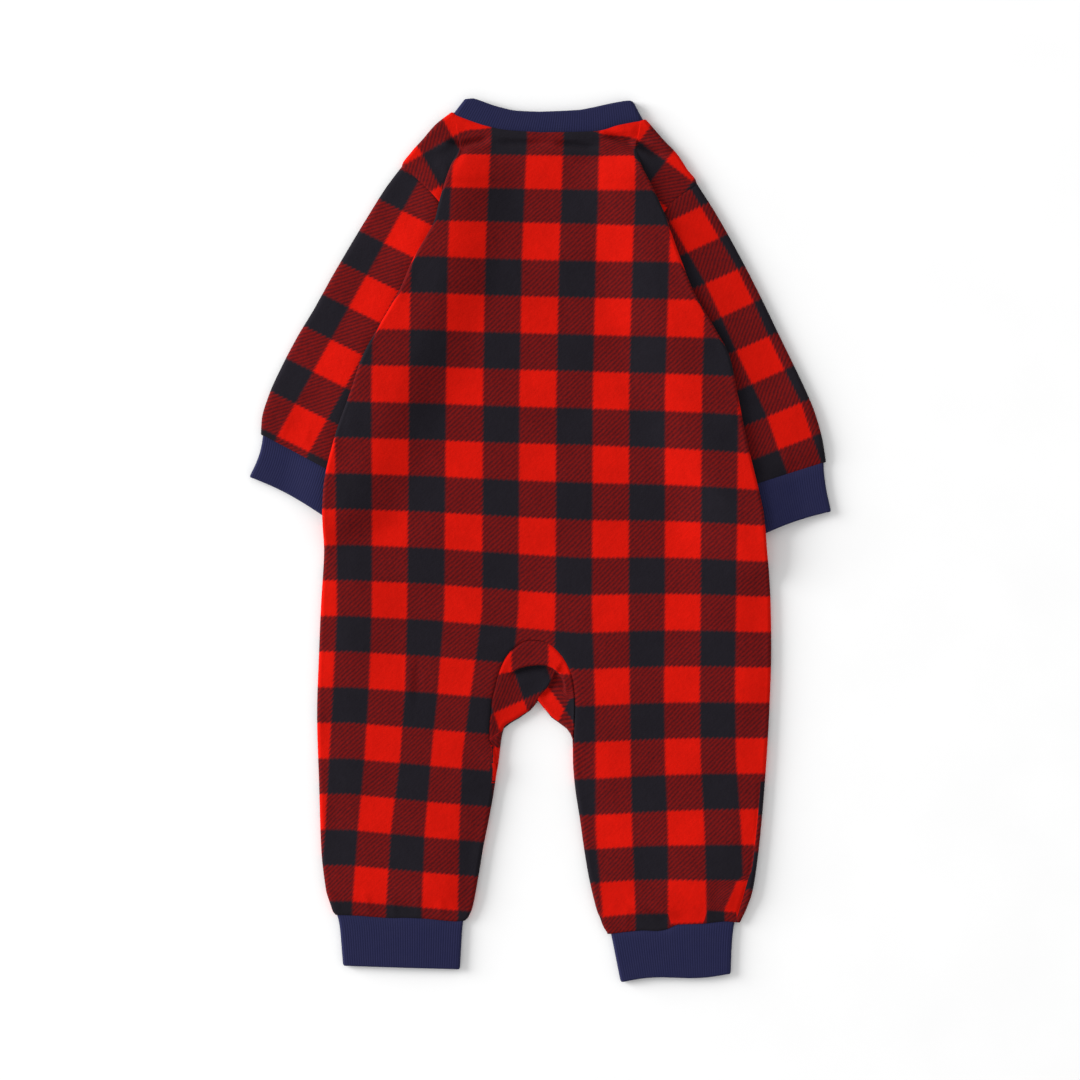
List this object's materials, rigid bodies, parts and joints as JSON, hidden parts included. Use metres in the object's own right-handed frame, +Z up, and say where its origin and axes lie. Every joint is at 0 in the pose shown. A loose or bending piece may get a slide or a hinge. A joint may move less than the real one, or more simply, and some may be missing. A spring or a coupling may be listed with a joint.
{
  "type": "onesie pajama",
  "caption": "Baby's long-sleeved fleece pajama romper in buffalo check with rib neckband and cuffs, laid flat back up with the sleeves folded in under the body's sides.",
  "frame": {"origin": "on the surface the garment lies on, at the middle of its length and of its span across the sleeves", "axes": "+Z up out of the garment's back, +Y from the ankles towards the neck, -X towards the wearer's left"},
  "size_m": [0.3967, 0.6034, 0.0131],
  "materials": {
    "back": "brushed fleece, red and navy buffalo check",
    "gusset": "brushed fleece, red and navy buffalo check",
    "front_left": "brushed fleece, red and navy buffalo check",
    "front_right": "brushed fleece, red and navy buffalo check",
    "sleeve_left": "brushed fleece, red and navy buffalo check",
    "sleeve_right": "brushed fleece, red and navy buffalo check",
    "collar": "navy rib knit",
    "wrist_cuff_left": "navy rib knit",
    "wrist_cuff_right": "navy rib knit",
    "ankle_cuff_left": "navy rib knit",
    "ankle_cuff_right": "navy rib knit",
    "snap_1": "moulded red resin",
    "snap_2": "moulded red resin",
    "snap_3": "moulded red resin",
    "snap_4": "moulded red resin",
    "snap_5": "moulded red resin",
    "snap_6": "moulded red resin",
    "snap_7": "moulded red resin"
  },
  "bodies": {
    "root": {"back": "back", "gusset": "gusset", "front_left": "front_left", "front_right": "front_right", "sleeve_left": "sleeve_left", "sleeve_right": "sleeve_right", "collar": "collar", "wrist_cuff_left": "wrist_cuff_left", "wrist_cuff_right": "wrist_cuff_right", "ankle_cuff_left": "ankle_cuff_left", "ankle_cuff_right": "ankle_cuff_right", "snap_1": "snap_1", "snap_2": "snap_2", "snap_3": "snap_3", "snap_4": "snap_4", "snap_5": "snap_5", "snap_6": "snap_6", "snap_7": "snap_7"}
  },
  "joints": []
}
